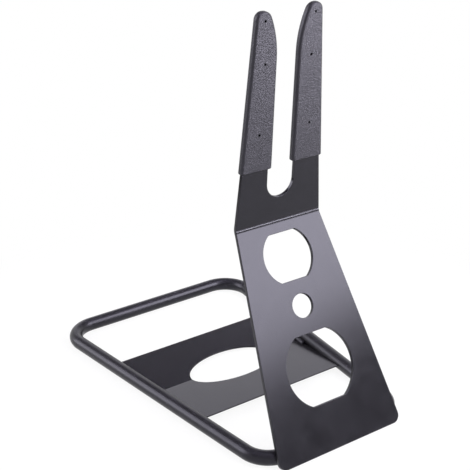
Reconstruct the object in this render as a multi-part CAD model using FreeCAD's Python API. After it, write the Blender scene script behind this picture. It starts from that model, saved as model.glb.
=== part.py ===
import FreeCAD, Part
import math
import os

# Floor bike stand. A round tube bent to a trapezoid lies on the floor, a shallow V tray spans
# its side runs, and a bent steel plate with a slotted top stands on its front run. Rubber
# sleeves cover the two prongs. Millimetres and degrees; +Z is up and the plate faces -Y.

# --- base tube ---
tube_diameter = 16.0
tube_wall = 1.5
base_front_width = 180.0        # between the side runs' centrelines, at the front run
base_back_width = 255.0         # the same, at the back run
base_depth = 362.5              # between the front and back runs' centrelines
front_corner_radius = 29.5      # of the centreline
back_corner_radius = 33.5
loop_joint_gap = 1.2            # root gap where the tube's two ends meet
loop_weld_width = 5.0
loop_weld_crown = 0.6

# --- upright plate ---
plate_thickness = 4.0
plate_lean = 27.9               # lower part, back from the vertical
prong_lean = 4.0                # upper part, forward from the vertical
plate_floor_gap = 0.3
plate_bend_radius = 10.0        # inside radius, on the front
lower_length = 242.6            # front face, bottom edge to the bend's apex
bottom_half_width = 81.3
bend_half_width = 53.7
bottom_corner_radius = 9.0
large_hole_height = 85.2        # hole centres, up the front face from the bottom edge
large_hole_radius = 42.1
large_hole_half_flat = 36.7
small_hole_height = 151.1
small_hole_radius = 12.8
upper_hole_height = 204.7
upper_hole_radius = 30.5
upper_hole_half_flat = 25.6
hole_corner_radius = 1.0

# --- prongs, measured up the front face from the bend's apex ---
prong_tip_height = 221.0
prong_tip_half_width = 35.2     # of the plate's outer edges, at the tips
slot_half_width = 16.85
slot_round_height = 44.6        # centre of the slot's round bottom
flare_height = 43.5             # from where the slot starts to widen on an arc up to the tips
flare_radius = 101.0
tip_inner_radius = 6.1
tip_outer_radius = 4.1

# --- rubber sleeves ---
sleeve_bottom_height = 63.5
sleeve_face_wall = 2.0
sleeve_slot_wall = 3.85         # on the slot side and over the tip
sleeve_outer_wall_low = 2.3     # outer edge, at the sleeve's bottom
sleeve_outer_wall_high = 4.15   # outer edge, at the tip
sleeve_fit_gap = 0.05
sleeve_corner_radius = 3.0
sleeve_edge_radius = 1.6
pin_hole_radius = 1.0
pin_hole_drops = (118.3, 47.0, 5.0)     # below the steel tips

# --- wheel tray ---
tray_thickness = 1.5
tray_fold_distance = 183.8      # from the front run's centreline to the fold
tray_fold_height = 2.85         # top face, at the fold
tray_leaf_slope = 5.1
tray_front_leaf = 83.2
tray_back_leaf = 73.1
tray_fold_radius = 4.0          # inside radius, on the top
tray_end_gap = 0.1              # between the tray's ends and the side runs
tyre_oval_half_length = 55.4    # along X
tyre_oval_half_width = 30.0     # along Y

# --- weld beads ---
tray_weld_inset = 0.35          # bead centre in from the tray's end
fold_weld_radius = 3.2
fold_weld_length = 18.0
fold_weld_height = 0.6          # bead centre above the tray's top face at the fold
leaf_weld_radius = 2.4
leaf_weld_length = 20.0
leaf_weld_drop = 0.8            # bead centre below the tray's underside
front_weld_distance = 60.0      # from the fold
rear_weld_distance = 52.0
plate_weld_radius = 2.6
plate_weld_start = 14.0         # inner end of each bead, from the middle
plate_weld_length = 40.0
plate_weld_rise = 5.4           # bead centre from the line where tube and plate touch
plate_weld_standoff = 1.2       # bead centre behind the plate's back face

# --- derived ---
tube_radius = tube_diameter / 2
bore_radius = tube_radius - tube_wall
side_angle = math.degrees(math.atan2((base_back_width - base_front_width) / 2, base_depth))
bend_angle = plate_lean + prong_lean
bend_setback = plate_bend_radius * math.tan(math.radians(bend_angle / 2))
flare_start_height = prong_tip_height - flare_height
fold_slope = math.tan(math.radians(tray_leaf_slope))
margin = 20.0                   # how far cutting tools reach past what they cut


def vector(x, y, z=0.0):
    return FreeCAD.Vector(x, y, z)


def along(angle):
    """Unit (x, y) direction at an angle from +X."""
    return vector(math.cos(math.radians(angle)), math.sin(math.radians(angle)))


def corner_arc(before, corner, after, radius):
    """Arc start, middle, end and centre that round one corner of a path in XY."""
    back = (before - corner).normalize()
    ahead = (after - corner).normalize()
    half_opening = back.getAngle(ahead) / 2
    inward = (back + ahead).normalize()
    start = corner + back * (radius / math.tan(half_opening))
    end = corner + ahead * (radius / math.tan(half_opening))
    centre = corner + inward * (radius / math.sin(half_opening))
    return start, centre - inward * radius, end, centre


def rounded_face(corners):
    """Face in XY from (x, y, radius) corners; a radius of 0 leaves the corner sharp."""
    points = [vector(x, y) for x, y, radius in corners]
    stretches = []
    for i, point in enumerate(points):
        radius = corners[i][2]
        if radius > 0:
            after = points[(i + 1) % len(points)]
            start, middle, end, centre = corner_arc(points[i - 1], point, after, radius)
            stretches.append((start, end, Part.Arc(start, middle, end).toShape()))
        else:
            stretches.append((point, point, None))
    edges = []
    pen = stretches[-1][1]
    for start, end, arc in stretches:
        if pen.distanceToPoint(start) > 1e-6:
            edges.append(Part.makeLine(pen, start))
        if arc:
            edges.append(arc)
        pen = end
    return Part.Face(Part.Wire(edges))


def extruded(face, low, high):
    """Solid between two heights along local Z."""
    solid = face.extrude(vector(0, 0, high - low))
    solid.translate(vector(0, 0, low))
    return solid


def mirrored(shape):
    """The same piece on the other side of the plane x = 0."""
    return shape.mirror(vector(0, 0, 0), vector(1, 0, 0))


# --- base tube ---
def base_corners():
    """Centreline corners, from the right front one anticlockwise, with their radii."""
    front = base_front_width / 2
    back = base_back_width / 2
    return [(vector(front, 0), front_corner_radius), (vector(back, base_depth), back_corner_radius),
            (vector(-back, base_depth), back_corner_radius), (vector(-front, 0), front_corner_radius)]


def tube_envelope(radius):
    """Round bar of one radius along the whole centreline, open at the joint in the front run."""
    path = base_corners()
    seam_right = vector(loop_joint_gap / 2, 0)
    seam_left = vector(-loop_joint_gap / 2, 0)
    points = [seam_right] + [corner for corner, bend in path] + [seam_left]
    lift = vector(0, 0, tube_radius)
    pen = seam_right
    pieces = []
    for i in range(1, len(points) - 1):
        start, middle, end, centre = corner_arc(points[i - 1], points[i], points[i + 1], path[i - 1][1])
        run = start - pen
        pieces.append(Part.makeCylinder(radius, run.Length, pen + lift, run))
        section = Part.Face(Part.Wire(Part.makeCircle(radius, start + lift, run)))
        turn = math.degrees((start - centre).getAngle(end - centre))
        pieces.append(section.revolve(centre, vector(0, 0, 1), turn))
        pen = end
    run = seam_left - pen
    pieces.append(Part.makeCylinder(radius, run.Length, pen + lift, run))
    return pieces[0].multiFuse(pieces[1:])


def base_tube():
    return tube_envelope(tube_radius).cut(tube_envelope(bore_radius)).removeSplitter()


def loop_butt_weld():
    """Ring that joins the tube's ends: crown left at the back and top, flush below and in front."""
    root = loop_joint_gap / 2
    edge = loop_weld_width / 2
    outline = [vector(root, 0, bore_radius), vector(root, 0, tube_radius), vector(edge, 0, tube_radius)]
    crown = Part.Arc(outline[-1], vector(0, 0, tube_radius + loop_weld_crown), vector(-edge, 0, tube_radius))
    other = [vector(-edge, 0, tube_radius), vector(-root, 0, tube_radius), vector(-root, 0, bore_radius)]
    section = Part.Wire(Part.makePolygon(outline).Edges + [crown.toShape()]
                        + Part.makePolygon(other).Edges + [Part.makeLine(other[-1], outline[0])])
    ring = Part.Face(section).revolve(vector(0, 0, 0), vector(1, 0, 0), 360)
    ring.translate(vector(0, 0, tube_radius))
    floor = Part.makeBox(2 * margin, 2 * margin, margin, vector(-margin, -margin, -margin))
    plate_side = Part.makeBox(2 * margin, 4 * margin, margin, vector(-margin, -2 * margin, 0))
    plate_side.translate(vector(0, 0, -plate_thickness))
    plate_side.Placement = lower_placement().multiply(plate_side.Placement)
    return ring.cut(floor).cut(plate_side)


# --- upright plate ---
def lower_placement():
    """Local X across, Y up the lower part's front face, Z out of it; origin at its bottom edge."""
    lean = math.radians(plate_lean)
    reach = tube_radius + plate_thickness
    height = plate_floor_gap + plate_thickness * math.sin(lean)
    climb = (height - tube_radius - reach * math.sin(lean)) / math.cos(lean)
    depth = climb * math.sin(lean) - reach * math.cos(lean)
    return FreeCAD.Placement(vector(0, depth, height), FreeCAD.Rotation(vector(1, 0, 0), 90 - plate_lean))


def upper_placement():
    """Local X across, Y up the upper part's front face, Z out of it; origin at the bend's apex."""
    apex = lower_placement().multVec(vector(0, lower_length))
    return FreeCAD.Placement(apex, FreeCAD.Rotation(vector(1, 0, 0), 90 + prong_lean))


def placed(shape, placement):
    """The shape moved from a plate part's local axes to the stand's."""
    moved = shape.copy()
    moved.Placement = placement.multiply(moved.Placement)
    return moved


def flatted_hole(height, radius, half_flat):
    """Cutter for a round hole with a flat at its top and bottom."""
    disc = Part.makeCylinder(radius, 2 * margin, vector(0, height, -margin))
    corner = vector(-2 * radius, height - half_flat, -margin)
    hole = disc.common(Part.makeBox(4 * radius, 2 * half_flat, 2 * margin, corner))
    corner_edges = [e for e in hole.Edges if abs(e.tangentAt(e.FirstParameter).z) > 0.99]
    return hole.makeFillet(hole_corner_radius, corner_edges)


def lower_part():
    top = lower_length - bend_setback
    face = rounded_face([(-bottom_half_width, 0, bottom_corner_radius),
                         (bottom_half_width, 0, bottom_corner_radius),
                         (bend_half_width, top, 0), (-bend_half_width, top, 0)])
    sheet = extruded(face, -plate_thickness, 0)
    sheet = sheet.cut(flatted_hole(large_hole_height, large_hole_radius, large_hole_half_flat))
    sheet = sheet.cut(flatted_hole(upper_hole_height, upper_hole_radius, upper_hole_half_flat))
    return sheet.cut(Part.makeCylinder(small_hole_radius, 2 * margin, vector(0, small_hole_height, -margin)))


def bend_part():
    """The curved stretch, turned about an axis in front of the plate."""
    top = lower_length - bend_setback
    end = Part.makePlane(2 * bend_half_width, plate_thickness,
                         vector(-bend_half_width, top, 0), vector(0, 1, 0), vector(1, 0, 0))
    return end.revolve(vector(0, top, plate_bend_radius), vector(1, 0, 0), bend_angle)


def steel_edge(height):
    """Distance from the middle to the plate's outer edge, above the bend."""
    share = (height - bend_setback) / (prong_tip_height - bend_setback)
    return bend_half_width + (prong_tip_half_width - bend_half_width) * share


def prong_face(bottom, slot_growth, outer_growth_low, outer_growth_high):
    """Right prong's outline, grown by given amounts; growths of 0 give the steel itself.

    The slot side runs straight up, flares on an arc and meets the tip's inner round. A short
    flat and the tip's outer round lead on to the slanted outer edge.
    """
    half_gap = slot_half_width - slot_growth
    flare = flare_radius + slot_growth
    inner_round = tip_inner_radius + slot_growth
    outer_round = tip_outer_radius + slot_growth
    top = prong_tip_height + slot_growth
    flare_centre = vector(slot_half_width + flare_radius, flare_start_height)
    rise = top - inner_round - flare_start_height
    across = math.sqrt((flare - inner_round) ** 2 - rise ** 2)
    inner_centre = flare_centre + vector(-across, rise)
    from_flare = (inner_centre - flare_centre).normalize()
    flare_angle = math.degrees(math.atan2(from_flare.y, from_flare.x))
    edge_low = vector(steel_edge(sleeve_bottom_height) + outer_growth_low, sleeve_bottom_height)
    edge_high = vector(steel_edge(prong_tip_height) + outer_growth_high, prong_tip_height)
    slant = (edge_high - edge_low) * (1 / (edge_high.y - edge_low.y))
    tilt = math.degrees(math.atan2(-slant.x, 1.0))
    outer_y = top - outer_round
    outer_x = (edge_low + slant * (outer_y - edge_low.y)).x - outer_round / math.cos(math.radians(tilt))
    outer_centre = vector(outer_x, outer_y)
    corner = edge_low + slant * (bottom - edge_low.y)
    foot = vector(half_gap, bottom)
    flare_end = flare_centre + along(flare_angle) * flare
    outer_start = outer_centre + vector(0, outer_round)
    outer_end = outer_centre + along(tilt) * outer_round
    edges = [Part.makeLine(foot, vector(half_gap, flare_start_height)),
             Part.Arc(vector(half_gap, flare_start_height),
                      flare_centre + along((180 + flare_angle) / 2) * flare, flare_end).toShape(),
             Part.Arc(flare_end, inner_centre + along((flare_angle + 90) / 2) * inner_round,
                      inner_centre + vector(0, inner_round)).toShape(),
             Part.makeLine(inner_centre + vector(0, inner_round), outer_start),
             Part.Arc(outer_start, outer_centre + along((90 + tilt) / 2) * outer_round, outer_end).toShape(),
             Part.makeLine(outer_end, corner), Part.makeLine(corner, foot)]
    return Part.Face(Part.Wire(edges))


def upper_part():
    shoulder = steel_edge(slot_round_height)
    block = rounded_face([(-bend_half_width, bend_setback, 0), (bend_half_width, bend_setback, 0),
                          (shoulder, slot_round_height, 0), (-shoulder, slot_round_height, 0)])
    block = extruded(block, -plate_thickness, 0)
    block = block.cut(Part.makeCylinder(slot_half_width, 2 * margin, vector(0, slot_round_height, -margin)))
    prong = extruded(prong_face(slot_round_height, 0, 0, 0), -plate_thickness, 0)
    return block.multiFuse([prong, mirrored(prong)])


def upright_plate():
    lower = placed(lower_part(), lower_placement())
    bend = placed(bend_part(), lower_placement())
    upper = placed(upper_part(), upper_placement())
    return lower.multiFuse([bend, upper]).removeSplitter()


# --- rubber sleeves ---
def pin_hole_offset(height):
    """Middle of the sleeve's width at a height, from the plate's middle."""
    climb = max(height - flare_start_height, 0)
    slot_edge = slot_half_width + flare_radius - math.sqrt(flare_radius ** 2 - climb ** 2)
    return (slot_edge + steel_edge(height)) / 2


def grip_sleeve():
    """Right sleeve: a closed rubber sock over the prong, with small holes left by locating pins."""
    outline = prong_face(sleeve_bottom_height, sleeve_slot_wall,
                         sleeve_outer_wall_low, sleeve_outer_wall_high)
    back = -plate_thickness - sleeve_face_wall
    body = extruded(outline, back, sleeve_face_wall)
    foot_edges = [e for e in body.Edges if abs(e.CenterOfMass.y - sleeve_bottom_height) < 1e-6
                  and abs(e.CenterOfMass.z + plate_thickness / 2) < 1e-6]
    body = body.makeFillet(sleeve_corner_radius, foot_edges)
    rims = [e for e in body.Edges if abs(e.CenterOfMass.z - sleeve_face_wall) < 1e-6
            or abs(e.CenterOfMass.z - back) < 1e-6]
    body = body.makeFillet(sleeve_edge_radius, rims)
    cavity = prong_face(sleeve_bottom_height - margin, sleeve_fit_gap, sleeve_fit_gap, sleeve_fit_gap)
    body = body.cut(extruded(cavity, -plate_thickness - sleeve_fit_gap, sleeve_fit_gap))
    for drop in pin_hole_drops:
        height = prong_tip_height - drop
        start = vector(pin_hole_offset(height), height, -margin)
        body = body.cut(Part.makeCylinder(pin_hole_radius, 2 * margin, start))
    return body


# --- wheel tray ---
def side_run_x(distance):
    """Right side run's centreline at a distance behind the front run."""
    return (base_front_width + (base_back_width - base_front_width) * distance / base_depth) / 2


def leaf_end(width, way, offset):
    """(x, y, radius) of a leaf's free edge; way is +1 for the back leaf and -1 for the front one."""
    point = along(tray_leaf_slope) * width + along(tray_leaf_slope + 90) * offset
    return (way * point.x, point.y, 0)


def tray_band(top_offset, bottom_offset):
    """V-shaped slab along X between two offsets from the tray's top face.

    Its section is drawn with the slab's depth along local X and its height along local Y.
    """
    def fold(offset):
        return (0, offset / math.cos(math.radians(tray_leaf_slope)), max(tray_fold_radius - offset, 0))
    section = rounded_face([leaf_end(tray_front_leaf, -1, top_offset), fold(top_offset),
                            leaf_end(tray_back_leaf, 1, top_offset),
                            leaf_end(tray_back_leaf, 1, bottom_offset), fold(bottom_offset),
                            leaf_end(tray_front_leaf, -1, bottom_offset)])
    band = extruded(section, -base_back_width, base_back_width)
    band.rotate(vector(0, 0, 0), vector(1, 1, 1), 120)
    band.translate(vector(0, tray_fold_distance, tray_fold_height))
    return band


def tray_plan(low, high):
    """Upright prism over the tray's plan, whose ends follow the slanted side runs."""
    inset = (tube_radius + tray_end_gap) / math.cos(math.radians(side_angle))
    front = tray_fold_distance - tray_front_leaf - margin
    back = tray_fold_distance + tray_back_leaf + margin
    front_x = side_run_x(front) - inset
    back_x = side_run_x(back) - inset
    plan = rounded_face([(-front_x, front, 0), (front_x, front, 0), (back_x, back, 0), (-back_x, back, 0)])
    return extruded(plan, low, high)


def wheel_tray():
    sheet = tray_band(0, -tray_thickness)
    sheet = sheet.common(tray_plan(-margin, 2 * margin))
    oval = Part.Ellipse(vector(0, 0, 0), tyre_oval_half_length, tyre_oval_half_width).toShape()
    punch = extruded(Part.Face(Part.Wire(oval)), -margin, 2 * margin)
    punch.translate(vector(0, tray_fold_distance, 0))
    return sheet.cut(punch)


# --- weld beads ---
def bead(start, end, radius):
    """Straight bead with round ends, turned about its own axis."""
    run = end - start
    side = run.cross(vector(0, 0, 1)).normalize() * radius
    ahead = vector(run.x, run.y, run.z).normalize() * radius
    diagonal = math.sqrt(0.5)
    start_round = Part.Arc(start - ahead, start + (side - ahead) * diagonal, start + side)
    end_round = Part.Arc(end + side, end + (side + ahead) * diagonal, end + ahead)
    outline = Part.Wire([start_round.toShape(), Part.makeLine(start + side, end + side),
                         end_round.toShape(), Part.makeLine(end + ahead, start - ahead)])
    return Part.Face(outline).revolve(start, run, 360)


def tray_bead_line(distance, height_at, length):
    """Bead ends beside the right side run, centred a distance behind the fold."""
    across = along(-side_angle)
    rearward = along(90 - side_angle)
    behind = tray_fold_distance + distance
    middle = vector(side_run_x(behind), behind) - across * (tube_radius + tray_end_gap + tray_weld_inset)
    ends = [middle - rearward * (length / 2), middle + rearward * (length / 2)]
    return [end + vector(0, 0, height_at(end.y)) for end in ends]


def tray_top(distance):
    """Height of the tray's top face at a distance behind the front run."""
    return tray_fold_height + abs(distance - tray_fold_distance) * fold_slope


def tray_fold_weld(bar):
    """Bead at the fold, on top, that fills the gap between the tray's end and the right side run."""
    ends = tray_bead_line(0, lambda distance: tray_fold_height + fold_weld_height, fold_weld_length)
    below = tray_band(0, -margin).common(tray_plan(-2 * margin, 2 * margin))
    floor = Part.makeBox(2 * base_back_width, 2 * base_depth, margin, vector(-base_back_width, 0, -margin))
    return bead(ends[0], ends[1], fold_weld_radius).cut(bar).cut(below).cut(floor)


def tray_leaf_weld(bar, distance):
    """Bead under one leaf, beside the right side run."""
    def height_at(y):
        return tray_top(y) - tray_thickness - leaf_weld_drop
    ends = tray_bead_line(distance, height_at, leaf_weld_length)
    above = tray_band(margin, -tray_thickness)
    return bead(ends[0], ends[1], leaf_weld_radius).cut(bar).cut(above)


def plate_weld(bar, plate, rise):
    """Bead behind the plate, right of the middle, above or below where it touches the front run."""
    touch = lower_placement().inverse().multVec(vector(0, 0, tube_radius)).y
    depth = -plate_thickness - plate_weld_standoff
    start = lower_placement().multVec(vector(plate_weld_start, touch + rise, depth))
    end = lower_placement().multVec(vector(plate_weld_start + plate_weld_length, touch + rise, depth))
    return bead(start, end, plate_weld_radius).cut(bar).cut(plate)


def add_pair(nodes, name, right_piece):
    """Store a piece and its mirror image as the right and left nodes."""
    nodes[name + "_right"] = right_piece
    nodes[name + "_left"] = mirrored(right_piece)


def build():
    """Every node, still measured from the front run's centreline."""
    bar = tube_envelope(tube_radius)
    plate = upright_plate()
    nodes = {"base_tube": base_tube(), "loop_butt_weld": loop_butt_weld(),
             "upright_plate": plate, "wheel_tray": wheel_tray()}
    add_pair(nodes, "grip_sleeve", placed(grip_sleeve(), upper_placement()))
    add_pair(nodes, "tray_fold_weld", tray_fold_weld(bar))
    add_pair(nodes, "tray_front_weld", tray_leaf_weld(bar, -front_weld_distance))
    add_pair(nodes, "tray_rear_weld", tray_leaf_weld(bar, rear_weld_distance))
    add_pair(nodes, "upright_upper_weld", plate_weld(bar, plate, plate_weld_rise))
    add_pair(nodes, "upright_lower_weld", plate_weld(bar, plate, -plate_weld_rise))
    return nodes


def main():
    os.makedirs("parts", exist_ok=True)
    # The origin is on the floor, midway between the plate's bottom edge and the back run.
    middle = (lower_placement().Base.y + base_depth + tube_radius) / 2
    for name, shape in build().items():
        shape.translate(vector(0, -middle, 0))
        shape.exportStep("parts/" + name + ".step")
        print(name, len(shape.Solids), shape.isValid(), round(shape.Volume, 1))


main()
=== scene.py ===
"""Floor bicycle stand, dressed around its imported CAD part.

The base is one loop of round tube with a folded wheel tray welded between its side runs. A bent
steel plate stands on the front run, and a moulded rubber sleeve covers each of its two prongs.
Sizes are in millimetres and degrees, and meshes in metres.
"""

import logging
import random
from collections.abc import Callable, Iterator, Sequence
from contextlib import contextmanager
from dataclasses import dataclass, field
from enum import Enum
from math import atan2, cos, degrees, pi, radians, sin, sqrt, tan

import bmesh
import bpy
from bpy.types import Material, Node, NodeSocket, NodeTree, Object as Piece
from mathutils import Matrix, Vector


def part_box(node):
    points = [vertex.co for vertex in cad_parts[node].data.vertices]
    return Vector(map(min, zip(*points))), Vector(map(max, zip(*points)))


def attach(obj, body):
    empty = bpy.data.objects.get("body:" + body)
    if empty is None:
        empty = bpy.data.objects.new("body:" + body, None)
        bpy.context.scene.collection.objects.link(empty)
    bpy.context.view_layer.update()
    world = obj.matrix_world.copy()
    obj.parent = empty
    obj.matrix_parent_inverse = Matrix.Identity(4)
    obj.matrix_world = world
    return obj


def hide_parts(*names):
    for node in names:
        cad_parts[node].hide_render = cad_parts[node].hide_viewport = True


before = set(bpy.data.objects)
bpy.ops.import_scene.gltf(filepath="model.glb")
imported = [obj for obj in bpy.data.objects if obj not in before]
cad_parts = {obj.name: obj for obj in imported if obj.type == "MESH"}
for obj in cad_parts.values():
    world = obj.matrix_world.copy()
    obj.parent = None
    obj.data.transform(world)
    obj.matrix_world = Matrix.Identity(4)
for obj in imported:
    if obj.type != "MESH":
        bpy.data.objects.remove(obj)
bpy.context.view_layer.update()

MM = 0.001
MERGE_MM = 0.002            # vertices nearer than this become one
ON_LINE_MM = 0.01           # vertices this near a line or level count as on it
LEAST_STROKE_MM = 1e-4      # shorter strokes of an outline are left out
EXACT_SLICE = 1e-7          # in metres, for a cut whose face has to be truly flat
CUTTER_REACH_MM = 20.0      # how far a cutting shape stands out on each side
TRIMMED_CREASE = 50.0       # least angle, in degrees, that a trimmed weld shows as an edge
WHITE = (1.0, 1.0, 1.0, 1.0)
PHOTO_SIDE_PX = 470
log = logging.getLogger("bicycle_stand")


class Side(Enum):
    """Which half of the stand a paired piece is on, as a sign along X."""

    LEFT = -1
    RIGHT = 1


class Slot(Enum):
    """The record's material slots."""

    STEEL = "black_powder_coat"
    WELD = "weld_bead"
    SLEEVE = "sleeve_rubber"


# --- workbench: Blender's own operators, used as by hand ---
def deselect_all() -> None:
    """Leave nothing selected, so that an operator acts only on what is chosen next."""
    bpy.ops.object.select_all(action="DESELECT")


def take(piece: Piece) -> None:
    """Make a piece the only selected and active object.

    Args:
        piece: The object that the next operators act on.
    """
    deselect_all()
    piece.select_set(True)
    bpy.context.view_layer.objects.active = piece


@contextmanager
def editing(piece: Piece, mode: str = "VERT") -> Iterator[None]:
    """Hold a piece in edit mode.

    Args:
        piece: The object to edit.
        mode: What is selected there: VERT, EDGE or FACE.
    """
    take(piece)
    bpy.ops.object.mode_set(mode="EDIT")
    bpy.ops.mesh.select_mode(type=mode)
    try:
        yield
    finally:
        bpy.ops.object.mode_set(mode="OBJECT")


def select_everything() -> None:
    """In edit mode, select the whole mesh."""
    bpy.ops.mesh.select_all(action="SELECT")


def pull(step: Vector) -> None:
    """In edit mode, extrude what is selected by a step in metres."""
    bpy.ops.mesh.extrude_region_move(TRANSFORM_OT_translate={"value": step})


def slice_at(at: Vector, normal: Vector, above: bool, fill: bool = True, tolerance: float = 1e-4) -> None:
    """In edit mode, cut the whole mesh on a plane and keep one side.

    Args:
        at: A point of the plane, in metres.
        normal: The plane's normal.
        above: Whether the side that the normal points to is kept.
        fill: Whether the cut is closed with a face.
        tolerance: How near the plane, in metres, a vertex counts as on it.
    """
    select_everything()
    bpy.ops.mesh.bisect(plane_co=at, plane_no=normal, use_fill=fill, clear_inner=above, clear_outer=not above,
                        threshold=tolerance)


def point_sheet(piece: Piece, way: Vector) -> None:
    """In edit mode, turn a sheet round if its largest face points against a direction.

    Args:
        piece: The sheet, all of it selected.
        way: The direction that it has to point in.
    """
    mesh = bmesh.from_edit_mesh(piece.data)
    if max(mesh.faces, key=lambda face: face.calc_area()).normal.dot(way) < 0:
        bpy.ops.mesh.flip_normals()


def select_verts(piece: Piece, wanted: Callable[[Vector], bool]) -> int:
    """In edit mode, select the vertices whose place passes a test, and nothing else.

    Args:
        piece: The object being edited.
        wanted: The test on a vertex's place, in metres.

    Returns:
        How many vertices are selected.
    """
    mesh = bmesh.from_edit_mesh(piece.data)
    for part in (*mesh.verts, *mesh.edges, *mesh.faces):
        part.select = False
    chosen = [vert for vert in mesh.verts if wanted(vert.co)]
    for vert in chosen:
        vert.select = True
    mesh.select_flush(True)
    bmesh.update_edit_mesh(piece.data)
    return len(chosen)


def shape_with(piece: Piece, kind: str, **settings: object) -> None:
    """Add one modifier to a piece and apply it.

    Args:
        piece: The object to change.
        kind: Blender's name for the modifier.
        settings: The modifier's own settings.
    """
    take(piece)
    modifier = piece.modifiers.new(kind.title(), kind)
    for name, value in settings.items():
        setattr(modifier, name, value)
    bpy.ops.object.modifier_apply(modifier=modifier.name)


def cut_away(piece: Piece, cutter: Piece) -> None:
    """Take a closed cutting shape out of a piece, and remove the shape."""
    shape_with(piece, "BOOLEAN", operation="DIFFERENCE", solver="EXACT", object=cutter)
    bpy.data.objects.remove(cutter)


def turn_outwards(piece: Piece) -> None:
    """Merge doubled vertices and make every face point outwards."""
    with editing(piece):
        select_everything()
        bpy.ops.mesh.remove_doubles(threshold=MERGE_MM * MM)
        bpy.ops.mesh.normals_make_consistent(inside=False)


def newly_added(name: str) -> Piece:
    """Name the object that an operator has just added, and return it."""
    piece = bpy.context.object
    piece.name = piece.data.name = name
    return piece


def fix_in_mesh() -> None:
    """Put the active object's place, turn and scale in its mesh."""
    bpy.ops.object.transform_apply(location=True, rotation=True, scale=True)


def settle(piece: Piece, placement: Matrix) -> None:
    """Move a piece to its place and put that place in its mesh.

    Args:
        piece: The object, drawn on its own axes.
        placement: Where those axes lie in the part's frame.
    """
    take(piece)
    piece.matrix_world = placement @ piece.matrix_world
    fix_in_mesh()


def add_ring(name: str, facets: int, radius: float, centre: Vector, turn: Sequence[float],
             fill: str = "NOTHING") -> Piece:
    """Add a circle with its place in its mesh.

    Args:
        name: The new object's name.
        facets: How many edges it has.
        radius: Its radius in millimetres.
        centre: Its centre in metres.
        turn: Its turn from lying flat, as three angles.
        fill: NGON for a disc, or NOTHING for an open ring.

    Returns:
        The new object.
    """
    deselect_all()
    bpy.ops.mesh.primitive_circle_add(vertices=facets, radius=radius * MM, fill_type=fill, location=centre,
                                      rotation=turn)
    piece = newly_added(name)
    fix_in_mesh()
    return piece


def add_punch(radius: float, x: float, y: float, facets: int) -> Piece:
    """Add a round cutting bar through the local XY plane.

    Args:
        radius: Its radius in millimetres.
        x: Where it crosses the plane, in millimetres.
        y: The same, along Y.
        facets: How many sides it has.

    Returns:
        The bar.
    """
    deselect_all()
    bpy.ops.mesh.primitive_cylinder_add(vertices=facets, radius=radius * MM, depth=2 * CUTTER_REACH_MM * MM,
                                        location=(x * MM, y * MM, 0))
    return bpy.context.object


def soften_edges(piece: Piece, radius: float, segments: int, angle: float = 40.0) -> None:
    """Round a piece's sharp edges.

    Args:
        piece: The object to change.
        radius: The rounding's width in millimetres.
        segments: Faces across each rounding.
        angle: The least angle, in degrees, that counts as sharp.
    """
    shape_with(piece, "BEVEL", width=radius * MM, segments=segments, limit_method="ANGLE",
               angle_limit=radians(angle), use_clamp_overlap=False, miter_outer="MITER_ARC")


def shade(piece: Piece) -> None:
    """Shade a piece smooth, with its large flat faces kept flat."""
    take(piece)
    bpy.ops.object.shade_smooth()
    shape_with(piece, "WEIGHTED_NORMAL", mode="FACE_AREA", weight=80, keep_sharp=False)


def close_up(piece: Piece, crease: float | None = None) -> None:
    """Set a piece's faces right and shade it smooth.

    Args:
        piece: The object to close.
        crease: The least angle, in degrees, that still shows as an edge; none does without it.
    """
    turn_outwards(piece)
    take(piece)
    if crease is None:
        bpy.ops.object.shade_smooth()
    else:
        bpy.ops.object.shade_smooth_by_angle(angle=radians(crease))


def mirrored_copy(piece: Piece, name: str) -> Piece:
    """Copy a piece to the other side of the plane x = 0, with its own mesh.

    Args:
        piece: The right-hand piece, with its place in its mesh.
        name: The copy's name.

    Returns:
        The left-hand piece.
    """
    take(piece)
    bpy.ops.object.duplicate()
    copy = newly_added(name)
    copy.scale = (-1, 1, 1)
    fix_in_mesh()
    turn_outwards(copy)
    return copy


def fit_rounding(before: Vector, corner: Vector, after: Vector,
                 radius: float) -> tuple[Vector, Vector, float]:
    """Fit an arc into a corner of a line.

    Args:
        before: A point ahead of the corner.
        corner: The sharp corner.
        after: A point further along.
        radius: The arc's radius, in the same unit.

    Returns:
        The arc's start, its centre, and its turn in radians.
    """
    back, ahead = (before - corner).normalized(), (after - corner).normalized()
    half = back.angle(ahead) / 2
    start = corner + back * (radius / tan(half))
    centre = corner + (back + ahead).normalized() * (radius / sin(half))
    return start, centre, pi - 2 * half


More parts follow.
